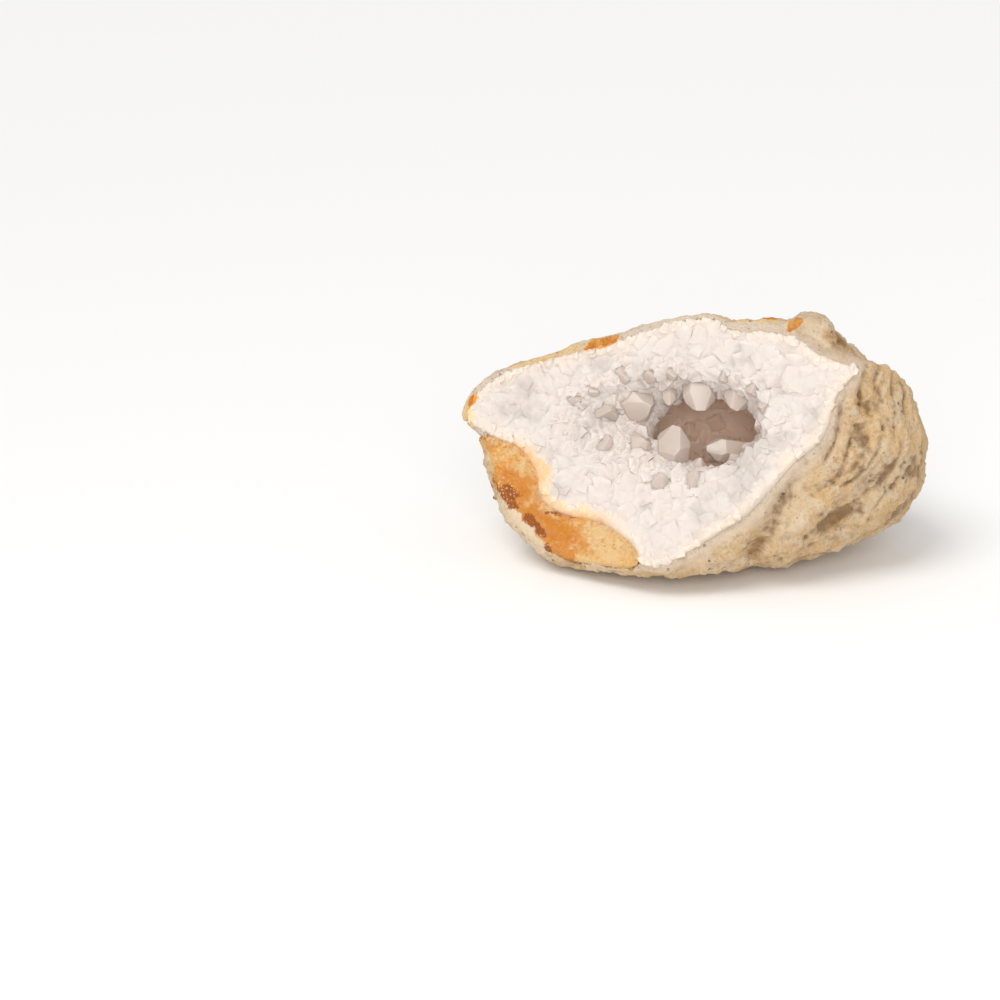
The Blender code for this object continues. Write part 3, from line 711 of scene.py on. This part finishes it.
class ScatterTree(TreeBuilder):
    """A Geometry Nodes tree that strews blocks over a surface.

    They stand as thick as the surface's cover attribute says, and point along its heading.
    """

    DENSEST = 6e6  # points per square metre, before the spacing thins them
    LAST_BLOCK = 99  # any whole number picks a block, because the count wraps round

    INPUTS = (
        ("Blocks", "NodeSocketCollection", None),
        ("Spacing", "NodeSocketFloat", 2 * MM),
        ("Smallest", "NodeSocketFloat", 1 * MM),
        ("Largest", "NodeSocketFloat", 2 * MM),
        ("Tumble", "NodeSocketFloat", 0.3),
        ("Sink", "NodeSocketFloat", 0.0),
        ("Seed", "NodeSocketInt", 0),
        ("Material", "NodeSocketMaterial", None),
    )

    def __init__(self, name):
        self.tree = bpy.data.node_groups.new(name, "GeometryNodeTree")
        face = self.tree.interface
        face.new_socket("Surface", in_out="INPUT", socket_type="NodeSocketGeometry")
        face.new_socket("Blocks placed", in_out="OUTPUT", socket_type="NodeSocketGeometry")
        self.keys = {}
        for label, kind, default in self.INPUTS:
            socket = face.new_socket(label, in_out="INPUT", socket_type=kind)
            if default is not None:
                socket.default_value = default
            self.keys[label] = socket.identifier
        self.build()

    def random(self, kind, limits, given):
        values = {**limits, "Seed": given["Seed"]}
        return self.node("FunctionNodeRandomValue", {"data_type": kind}, values)

    def scaled(self, vector, share):
        return self.node("ShaderNodeVectorMath", {"operation": "SCALE"}, {0: vector, "Scale": share})

    def build(self):
        given = self.node("NodeGroupInput").outputs
        cover = self.node("GeometryNodeInputNamedAttribute", {"data_type": "FLOAT"}, {0: "cover"})
        heading = self.node(
            "GeometryNodeInputNamedAttribute", {"data_type": "FLOAT_VECTOR"}, {0: "heading"}
        )
        spaced = self.node(
            "GeometryNodeDistributePointsOnFaces",
            {"distribute_method": "POISSON"},
            {
                "Mesh": given["Surface"],
                "Distance Min": given["Spacing"],
                "Density Max": self.DENSEST,
                "Density Factor": cover.outputs[0],
                "Seed": given["Seed"],
            },
        )
        jitter = self.random("FLOAT_VECTOR", {0: (-1, -1, -1), 1: (1, 1, 1)}, given)
        tumble = self.scaled(jitter.outputs[0], given["Tumble"])
        way = self.node("ShaderNodeVectorMath", {}, {0: heading.outputs[0], 1: tumble.outputs[0]})
        aimed = self.node("FunctionNodeAlignRotationToVector", {"axis": "Z"}, {2: way.outputs[0]})
        angle = self.random("FLOAT", {2: 0.0, 3: 2 * math.pi}, given)
        spin = self.node("FunctionNodeAxisAngleToRotation", {}, {0: (0, 0, 1), 1: angle.outputs[1]})
        turned = self.node(
            "FunctionNodeRotateRotation",
            {"rotation_space": "LOCAL"},
            {0: aimed.outputs[0], 1: spin.outputs[0]},
        )
        size = self.random("FLOAT", {2: given["Smallest"], 3: given["Largest"]}, given)
        fall = self.node("ShaderNodeMath", {"operation": "MULTIPLY"}, {0: given["Sink"], 1: -1.0})
        drop = self.scaled(heading.outputs[0], fall.outputs[0])
        sunk = self.node(
            "GeometryNodeSetPosition", {}, {"Geometry": spaced.outputs[0], "Offset": drop.outputs[0]}
        )
        blocks = self.node(
            "GeometryNodeCollectionInfo",
            {},
            {"Collection": given["Blocks"], "Separate Children": True, "Reset Children": True},
        )
        which = self.random("INT", {4: 0, 5: self.LAST_BLOCK}, given)
        placed = self.node(
            "GeometryNodeInstanceOnPoints",
            {},
            {
                "Points": sunk.outputs[0],
                "Instance": blocks.outputs[0],
                "Pick Instance": True,
                "Instance Index": which.outputs[2],
                "Rotation": turned.outputs[0],
                "Scale": size.outputs[1],
            },
        )
        real = self.node("GeometryNodeRealizeInstances", {}, {0: placed.outputs[0]})
        finished = self.node(
            "GeometryNodeSetMaterial", {}, {"Geometry": real.outputs[0], "Material": given["Material"]}
        )
        self.node("NodeGroupOutput", {}, {0: finished.outputs[0]})

    def strewn(self, surface, name, settings):
        """An object with the blocks on the surface, as a plain mesh."""
        obj = link(bpy.data.objects.new(name, surface.data.copy()))
        modifier = obj.modifiers.new(name, "NODES")
        modifier.node_group = self.tree
        for label, setting in settings.items():
            modifier[self.keys[label]] = setting
        return made_plain(obj)


# ---------------------------------------------------------------- quartz
# The blocks and crystals of the quartz: name, shape, zone, how many layers of them, spacing,
# smallest and largest width (mm), how much they tumble (a share of their heading) and how far
# they sink in (mm). The zones are those of zones() and headings().
STREWN = (
    ("broad_facets", "facets", "middle", 5, 6.6, 5.0, 6.4, 0.12, 0.15),
    ("facets", "facets", "face", 3, 4.6, 3.3, 4.3, 0.20, 0.0),
    ("edge_facets", "facets", "edge", 3, 2.6, 1.6, 2.4, 0.18, 0.1),
    ("rim_grains", "facets", "rim", 2, 1.9, 1.3, 2.3, 0.38, 0.0),
    ("collar_facets", "facets", "collar", 2, 2.3, 1.6, 2.6, 0.22, 0.1),
    ("sugar_grains", "facets", "sugar", 2, 1.8, 1.1, 1.7, 0.40, 0.1),
    ("basin_faces", "crystals", "basin", 5, 6.4, 4.8, 6.2, 0.50, 2.1),
    ("basin_crystals", "crystals", "basin", 3, 4.4, 3.0, 4.2, 0.55, 1.0),
    ("basin_facets", "facets", "basin", 3, 3.6, 2.6, 3.6, 0.25, 0.1),
    ("hollow_crystals", "crystals", "hollow", 3, 5.0, 3.6, 5.6, 0.55, 1.2),
)


def grow_uneven(shape, pick):
    """Lets the two faces of the point that look at the viewer outgrow the others."""
    girth = shape.calc_volume() ** (1 / 3)
    towards = Vector((0, -math.cos(FACE_LEAN), math.sin(FACE_LEAN)))
    apex = max(shape.verts, key=lambda corner: (len(corner.link_faces), corner.co.dot(towards)))
    slopes = sorted(apex.link_faces, key=lambda face: -face.normal.dot(towards))
    cuts = [(face.calc_center_median(), face.normal.copy()) for face in slopes[:2]]
    for (middle, normal), share in zip(cuts, (pick.uniform(0.10, 0.18), pick.uniform(0.02, 0.07))):
        cut_flat(shape, middle - normal * share * girth, normal)


LEVEL = math.radians(1)  # triangles that differ by less lie in one flat face


def uneven_crystals():
    """The crystals with flat faces, the foremost two of each point outgrowing the others."""
    pick = random.Random(5)
    made = []
    for node in CRYSTALS:
        obj = merged_copy(node.name.replace("crystal_", "quartz_point_"), [node])
        shape = shape_of([obj])
        bmesh.ops.dissolve_limit(shape, angle_limit=LEVEL, verts=shape.verts[:], edges=shape.edges[:])
        shape.normal_update()
        grow_uneven(shape, pick)
        bmesh.ops.recalc_face_normals(shape, faces=shape.faces)
        shape.to_mesh(obj.data)
        shape.free()
        made.append(obj)
    return made


def closed_quartz(sizes):
    """The lining and its crystals as one closed body, a little inside each crystal's faces.

    Returns it, which of its points lie on a crystal, and how far each is from one, in mm.
    """
    closing = 0.3 * MM  # fills the joints, which are narrower than twice this
    sink = 0.12  # mm
    crystals = uneven_crystals()
    obj = merged_copy("quartz_mass", [frame["nodes"][LINING], *crystals])
    remeshed(obj, sizes.quartz_voxel)
    move_points(obj, points_of(obj) + normals_of(obj) * closing)
    remeshed(obj, sizes.quartz_voxel)
    points = points_of(obj) - normals_of(obj) * closing
    places, normals, from_crystal = nearest(tree_of(crystals), points)
    from_lining = nearest(tree_of([frame["nodes"][LINING]]), points)[2]
    owned = from_crystal < from_lining
    points[owned] = (places - normals * sink * MM)[owned]
    move_points(obj, points)
    for crystal in crystals:
        bpy.data.meshes.remove(crystal.data)
    return obj, owned, from_crystal


def zones(face, from_rind, from_crystal):
    """How densely each kind of grain covers each point."""
    depth = depth_in_face(face)
    basin_reach = np.hypot(
        (face[:, 0] - BASIN_CENTRE[0]) / BASIN_RADII[0], (face[:, 1] - BASIN_CENTRE[1]) / BASIN_RADII[1]
    )
    front = (depth < 4.5).astype(float)
    in_basin = (basin_reach < 1.08) & (depth < 9.0) & (from_rind > 2.0)
    from_hollow = np.hypot(face[:, 0] - HOLLOW_MOUTH[0], face[:, 1] - HOLLOW_MOUTH[1])
    inside = (depth > 7.0) & (from_rind > 2.5) & (from_hollow < HOLLOW_REACH)
    sugary = rise(clouds(face, 9.0, 5, 2), 0.15, 0.5)
    on_face = front * (basin_reach > 0.90)
    return {
        "middle": on_face * (from_crystal > 1.5) * (from_rind > 4.0),
        "face": on_face * (from_crystal > 0.8) * (from_rind > 2.4),
        "edge": on_face * (from_crystal > 0.5) * (from_rind > 1.0) * (from_rind < 4.5),
        "rim": front * (from_rind > 0.25) * (from_rind < 1.8),
        "collar": (depth < 9.0) * (from_crystal > 0.3) * (from_crystal < 1.8) * (from_rind > 1.5),
        "sugar": front * (basin_reach > 0.85) * (from_crystal > 0.4) * sugary * (from_rind > 0.8),
        "basin": (in_basin & (from_crystal > 0.3)).astype(float),
        "hollow": (inside & (from_crystal > 0.6)).astype(float),
    }


def headings(face, normals):
    """Which way the blocks of each zone point, in the world."""
    viewer = np.array([0, 0, 1.0])
    inward = unit(np.array(HOLLOW_CENTRE) - face)
    out = normals @ FACE_AXES
    ways = {
        "middle": out * 0.6 + viewer * 0.5,
        "face": out * 0.6 + viewer * 0.5,
        "edge": out + viewer * 0.1,
        "rim": out,
        "collar": out * 0.8 + viewer * 0.3,
        "sugar": out + viewer * 0.1,
        "basin": out * 0.45 + inward * 0.45 + viewer * 0.6,
        "hollow": out * 0.45 + inward * 0.45 + viewer * 0.6,
    }
    return {zone: unit(way) @ FACE_AXES.T for zone, way in ways.items()}


def strew_blocks(obj, cover, heading, finish):
    """Joins all the rows of STREWN to the quartz, so that they and it are one closed body."""
    tree = ScatterTree("strewn_blocks")
    collections = {
        "facets": block_collection("facets", broken_facets, count=12, seed=21),
        "crystals": block_collection("point", small_crystal, count=10, seed=22),
    }
    surface = link(bpy.data.objects.new("surface", obj.data.copy()))
    operands = []
    for name, shape, zone, layers, spacing, smallest, largest, tumble, sink in STREWN:
        for attribute in ("cover", "heading"):
            if attribute in surface.data.attributes:
                surface.data.attributes.remove(surface.data.attributes[attribute])
        store(surface, "cover", cover[zone])
        store(surface, "heading", heading[zone], "FLOAT_VECTOR")
        settings = {
            "Blocks": collections[shape],
            "Spacing": spacing * MM,
            "Smallest": smallest * MM,
            "Largest": largest * MM,
            "Tumble": tumble,
            "Sink": sink * MM,
            "Material": finish,
        }
        for _ in range(layers):
            settings["Seed"] = len(operands) + 1
            operands.append(tree.strewn(surface, f"{name}_{len(operands)}", settings))
    for operand in operands:
        union = obj.modifiers.new(operand.name, "BOOLEAN")
        union.operation = "UNION"
        union.solver = "MANIFOLD"
        union.object = operand
    main_part(made_plain(obj))
    for extra in [surface, *operands]:
        bpy.data.objects.remove(extra)
    for collection in collections.values():
        for block in list(collection.objects):
            bpy.data.objects.remove(block)
        bpy.data.collections.remove(collection)


def quartz_mass(sizes, colours):
    """The broken quartz: uneven, climbing a little round each crystal, and covered with blocks."""
    foot_height, foot_reach = 0.5, 1.9  # mm
    finish = quartz_mass_finish(colours)
    obj, owned, from_crystal = closed_quartz(sizes)
    points, normals = points_of(obj), normals_of(obj)
    face = in_face(points)
    outer_layers = tree_of([frame["nodes"][RIND], frame["nodes"][STAINED]])
    from_rind = nearest(outer_layers, points)[2]
    loose = rise(from_rind, 0.1, 1.4) * ~owned
    relief = clouds(face, 4.6, 1, 2) * 0.8 + clouds(face, 1.7, 2) * 0.4
    points = points + normals * (relief * loose * sizes.quartz_relief)[:, None]
    climb = foot_height * rise(from_crystal, foot_reach, 0.3) * ~owned
    points = points + normals * (climb * MM)[:, None]
    move_points(obj, points)
    strew_blocks(obj, zones(face, from_rind, from_crystal), headings(face, normals), finish)
    store(obj, "mm_from_rind", np.minimum(nearest(outer_layers, points_of(obj))[2], FAR))
    obj.data.materials.clear()
    obj.data.materials.append(finish)
    faceted(obj, 24)
    return obj


def standing_crystal(obj, sizes, finish):
    """Finishes a crystal with slightly worn edges."""
    worn = obj.modifiers.new("worn_edges", "BEVEL")
    worn.width = sizes.crystal_wear
    worn.segments = 2
    worn.limit_method = "ANGLE"
    worn.angle_limit = math.radians(15)
    made_plain(obj)
    obj.data.materials.append(finish)
    faceted(obj, 20)
    return obj


# ---------------------------------------------------------------- rind and stained layer
# Long grooves of the rind on the right: from and to in the face frame, width and depth, in mm.
RIND_GROOVES = (
    ((21.5, -7.0), (12.5, -25.5), 2.2, 2.3),
    ((43.0, -3.0), (27.0, -21.5), 2.6, 1.9),
    ((33.5, -12.0), (22.0, -25.0), 2.0, 1.5),
    ((31.5, 12.0), (30.0, 2.0), 1.5, 0.9),
    ((37.5, 14.5), (34.5, 3.0), 1.8, 1.0),
)


def groove_depth(face):
    """How deep the long grooves run at each point, mm."""
    depth = np.zeros(len(face))
    wander = clouds(face, 7.0, 31) * 1.6
    for start, end, width, deepest in RIND_GROOVES:
        start, end = np.array(start), np.array(end)
        along = end - start
        share = ((face[:, :2] - start) @ along) / (along @ along)
        off = face[:, :2] - start - np.clip(share, 0, 1)[:, None] * along
        across = np.abs(np.linalg.norm(off, axis=1) + wander)
        fade = rise(share, -0.15, 0.15) * rise(share, 1.15, 0.85)
        depth = np.maximum(depth, deepest * fade * np.exp(-((across / width) ** 2)))
    return depth * rise(face[:, 2], -26.0, -18.0)


def rind_relief(face, sizes):
    """Displacement of the rind's outside, in mm, and from 0 to 1 how low each place lies."""
    swing = 0.15 + 0.75 * rise(face[:, 1], 4.0, -14.0)
    cos, sin = np.cos(swing), np.sin(swing)
    x, y = face[:, 0] - 35.0, face[:, 1]
    turned = np.stack([x * cos - y * sin, (x * sin + y * cos) * 0.28, face[:, 2] * 0.5], axis=1)
    bends = np.stack([clouds(face, 9.0, 17), clouds(face, 9.0, 18), clouds(face, 9.0, 19)], axis=1)
    turned = turned + bends * 1.3
    flutes = ridges(turned, 3.4, 11) * 0.75 + ridges(turned, 1.6, 12) * 0.25
    patchy = 0.45 + 0.55 * rise(clouds(face, 8.0, 20), -0.25, 0.25)
    on_right = rise(face[:, 0], 20.0, 32.0)
    lumps = clouds(face, 9.0, 13, 2)
    knobs = clouds(face, 3.4, 14, 3)
    pits = -rise(clouds(face, 1.7, 15), 0.46, 0.7)
    cut = (flutes - 0.75) * (0.2 + 0.8 * on_right) * patchy
    crumbs = clouds(face, 1.3, 16, 2)
    grooves = groove_depth(face)
    relief = sizes.rind_lumps / MM * lumps * 0.6 + sizes.rind_flutes / MM * cut * 1.1
    relief += sizes.rind_grain / MM * (knobs * 1.6 + crumbs * 0.9 + pits * 1.5) - grooves
    # How low each place lies, which the rind's finish darkens as painted shade.
    low = grooves * 0.24 - cut * 1.1 - pits * 0.5 - knobs * 0.3 - crumbs * 0.4
    return relief, np.clip(low, 0, 1)


def pressed(moved, points, places, against, share):
    """The moved points, but those against the lining go this share of the way to their places."""
    return np.where(against[:, None], points + (places - points) * share, moved)


def rind_stone(sizes, colours):
    """The rind with its relief, drawn against the lining where they meet, level underneath."""
    lining_tree = tree_of([frame["nodes"][LINING]])
    obj = remeshed(merged_copy("rind_stone", [frame["nodes"][RIND]]), sizes.rind_voxel)
    main_part(smoothed(obj, 3))
    points, normals = points_of(obj), normals_of(obj)
    places, _, from_lining = nearest(lining_tree, points)
    outside = rise(from_lining, 0.6, 1.8)
    face = in_face(points)
    relief, low = rind_relief(face, sizes)
    above_flat = rise(points[:, 2] / MM, 0.4, 3.0)
    moved = points + normals * (relief * outside * above_flat)[:, None] * MM
    moved = pressed(moved, points, places, from_lining < 0.75, 1.15)
    moved[:, 2] = np.maximum(moved[:, 2], 0.0)
    move_points(obj, moved)
    store(obj, "mm_from_quartz", np.minimum(from_lining, FAR))
    # Where the rind's finish paints shade in the low places.
    store(obj, "low_places", low * outside)
    obj.data.materials.append(rind_finish(colours))
    faceted(obj, 50)
    return obj


def stained_break(sizes, colours):
    """The stained layer, rough in front and grown shut against the lining and the rind."""
    obj = remeshed(merged_copy("stained_break", [frame["nodes"][STAINED]]), sizes.stain_voxel)
    main_part(smoothed(obj, 2))
    points, normals = points_of(obj), normals_of(obj)
    face = in_face(points)
    places, _, from_lining = nearest(tree_of([frame["nodes"][LINING]]), points)
    from_rind = nearest(tree_of([frame["nodes"][RIND]]), points)[2]
    corner = rise(from_lining, 1.6, 0.4) * rise(from_rind, 1.6, 0.4)
    closing = 0.4 + 0.7 * corner
    front = rise(np.minimum(from_lining, from_rind), 0.5, 1.4)
    relief = clouds(face, 3.2, 41, 3) * sizes.stain_relief / MM
    moved = points + normals * (closing * (1 - 0.5 * front) + relief * front)[:, None] * MM
    move_points(obj, pressed(moved, points, places, from_lining < 0.7, 1.3))
    store(obj, "mm_from_quartz", np.minimum(from_lining, FAR))
    obj.data.materials.append(stained_finish(colours))
    faceted(obj, 45)
    return obj


# ---------------------------------------------------------------- operators
def set_in_frame(piece, node):
    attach(piece, "root")
    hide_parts(node)


class GEODE_OT_quartz(Operator):
    """Build the broken quartz with its grains and small crystals"""

    bl_idname = "geode.quartz"
    bl_label = "Quartz"

    def execute(self, context):
        piece = quartz_mass(context.scene.geode_sizes, context.scene.geode_colours)
        set_in_frame(piece, LINING)
        return {"FINISHED"}


class GEODE_OT_crystals(Operator):
    """Finish the crystals that stand in and round the hollow"""

    bl_idname = "geode.crystals"
    bl_label = "Standing crystals"

    def execute(self, context):
        finish = crystal_finish(context.scene.geode_colours)
        for node, crystal in zip(CRYSTALS, uneven_crystals()):
            piece = standing_crystal(crystal, context.scene.geode_sizes, finish)
            set_in_frame(piece, node.name)
        return {"FINISHED"}


class GEODE_OT_rind(Operator):
    """Build the rough rind with its flutes, grooves and pits"""

    bl_idname = "geode.rind"
    bl_label = "Rind"

    def execute(self, context):
        piece = rind_stone(context.scene.geode_sizes, context.scene.geode_colours)
        set_in_frame(piece, RIND)
        return {"FINISHED"}


class GEODE_OT_stained_layer(Operator):
    """Build the iron-stained layer at the lower left"""

    bl_idname = "geode.stained_layer"
    bl_label = "Stained layer"

    def execute(self, context):
        piece = stained_break(context.scene.geode_sizes, context.scene.geode_colours)
        set_in_frame(piece, STAINED)
        return {"FINISHED"}


KEY_DIRECTION = Vector((0.34, 0.28, -0.90))
FILL_PLACE, FILL_SIZE = Vector((0.02, -0.55, 0.30)), 0.35  # metres
FLOOR_HALF = 3.0  # metres
FLOOR_SHADE = (0.93, 0.93, 0.93, 1)


class GEODE_OT_stage(Operator):
    """Set out the floor, the soft light and the camera"""

    bl_idname = "geode.stage"
    bl_label = "Stage"

    def execute(self, context):
        stage = context.scene.geode_stage
        self.floor()
        self.light(stage)
        self.camera(context.scene, stage)
        return {"FINISHED"}

    def floor(self):
        corners = [(x * FLOOR_HALF, y * FLOOR_HALF, 0) for x, y in ((-1, -1), (1, -1), (1, 1), (-1, 1))]
        mesh = bpy.data.meshes.new("floor")
        mesh.from_pydata(corners, [], [(0, 1, 2, 3)])
        paper = bpy.data.materials.new("pale_floor")
        paper.use_nodes = True
        shader = paper.node_tree.nodes["Principled BSDF"]
        shader.inputs["Base Color"].default_value = FLOOR_SHADE
        shader.inputs["Roughness"].default_value = 0.9
        mesh.materials.append(paper)
        link(bpy.data.objects.new("floor", mesh))

    def light(self, stage):
        world = bpy.data.worlds.new("even_light")
        world.use_nodes = True
        sky = world.node_tree.nodes["Background"].inputs
        sky["Color"].default_value = (1, 1, 1, 1)
        sky["Strength"].default_value = stage.sky
        bpy.context.scene.world = world
        key = bpy.data.lights.new("key_light", "SUN")
        key.energy = stage.key_strength
        key.angle = stage.key_width
        key.color = (1.0, 0.985, 0.96)
        lamp = link(bpy.data.objects.new("key_light", key))
        lamp.rotation_euler = KEY_DIRECTION.to_track_quat("-Z", "Y").to_euler()
        fill = bpy.data.lights.new("fill_light", "AREA")
        fill.shape = "DISK"
        fill.size = FILL_SIZE
        fill.energy = stage.fill_power
        fill.color = (1.0, 0.98, 0.96)
        lamp = link(bpy.data.objects.new("fill_light", fill))
        lamp.location = FILL_PLACE
        lamp.rotation_euler = (FACE_ORIGIN - FILL_PLACE).to_track_quat("-Z", "Y").to_euler()

    def camera(self, scene, stage):
        data = bpy.data.cameras.new("camera")
        data.lens = stage.lens
        camera = link(bpy.data.objects.new("camera", data))
        out = Vector((0, -math.cos(FACE_LEAN), math.sin(FACE_LEAN)))
        camera.location = FACE_ORIGIN + out * stage.distance
        straight = (-out).to_track_quat("-Z", "Y")
        seen = Vector((math.tan(stage.pan), math.tan(stage.tilt), -1)).normalized()
        camera.rotation_mode = "QUATERNION"
        camera.rotation_quaternion = straight @ seen.rotation_difference(Vector((0, 0, -1)))
        scene.camera = camera
        scene.view_settings.view_transform = "Standard"


class GEODE_PT_panel(Panel):
    """The geode's pieces, sizes and colours"""

    bl_idname = "GEODE_PT_panel"
    bl_label = "Geode half"
    bl_space_type = "VIEW_3D"
    bl_region_type = "UI"
    bl_category = "Geode"

    def draw(self, context):
        for operator in OPERATORS:
            self.layout.operator(operator.bl_idname)
        for group in (context.scene.geode_sizes, context.scene.geode_colours, context.scene.geode_stage):
            box = self.layout.box()
            for name in group.bl_rna.properties.keys():
                if name not in ("rna_type", "name"):
                    box.prop(group, name)


GROUPS = (GeodeSizes, GeodeColours, GeodeStage)
OPERATORS = (GEODE_OT_quartz, GEODE_OT_crystals, GEODE_OT_rind, GEODE_OT_stained_layer, GEODE_OT_stage)


def register():
    for part in (*GROUPS, *OPERATORS, GEODE_PT_panel):
        bpy.utils.register_class(part)
    bpy.types.Scene.geode_sizes = PointerProperty(type=GeodeSizes)
    bpy.types.Scene.geode_colours = PointerProperty(type=GeodeColours)
    bpy.types.Scene.geode_stage = PointerProperty(type=GeodeStage)


def unregister():
    for name in ("geode_sizes", "geode_colours", "geode_stage"):
        delattr(bpy.types.Scene, name)
    for part in (GEODE_PT_panel, *reversed(OPERATORS), *reversed(GROUPS)):
        bpy.utils.unregister_class(part)


def main():
    register()
    bpy.ops.geode.quartz()
    bpy.ops.geode.crystals()
    bpy.ops.geode.rind()
    bpy.ops.geode.stained_layer()
    bpy.ops.geode.stage()


if __name__ == "__main__":
    main()
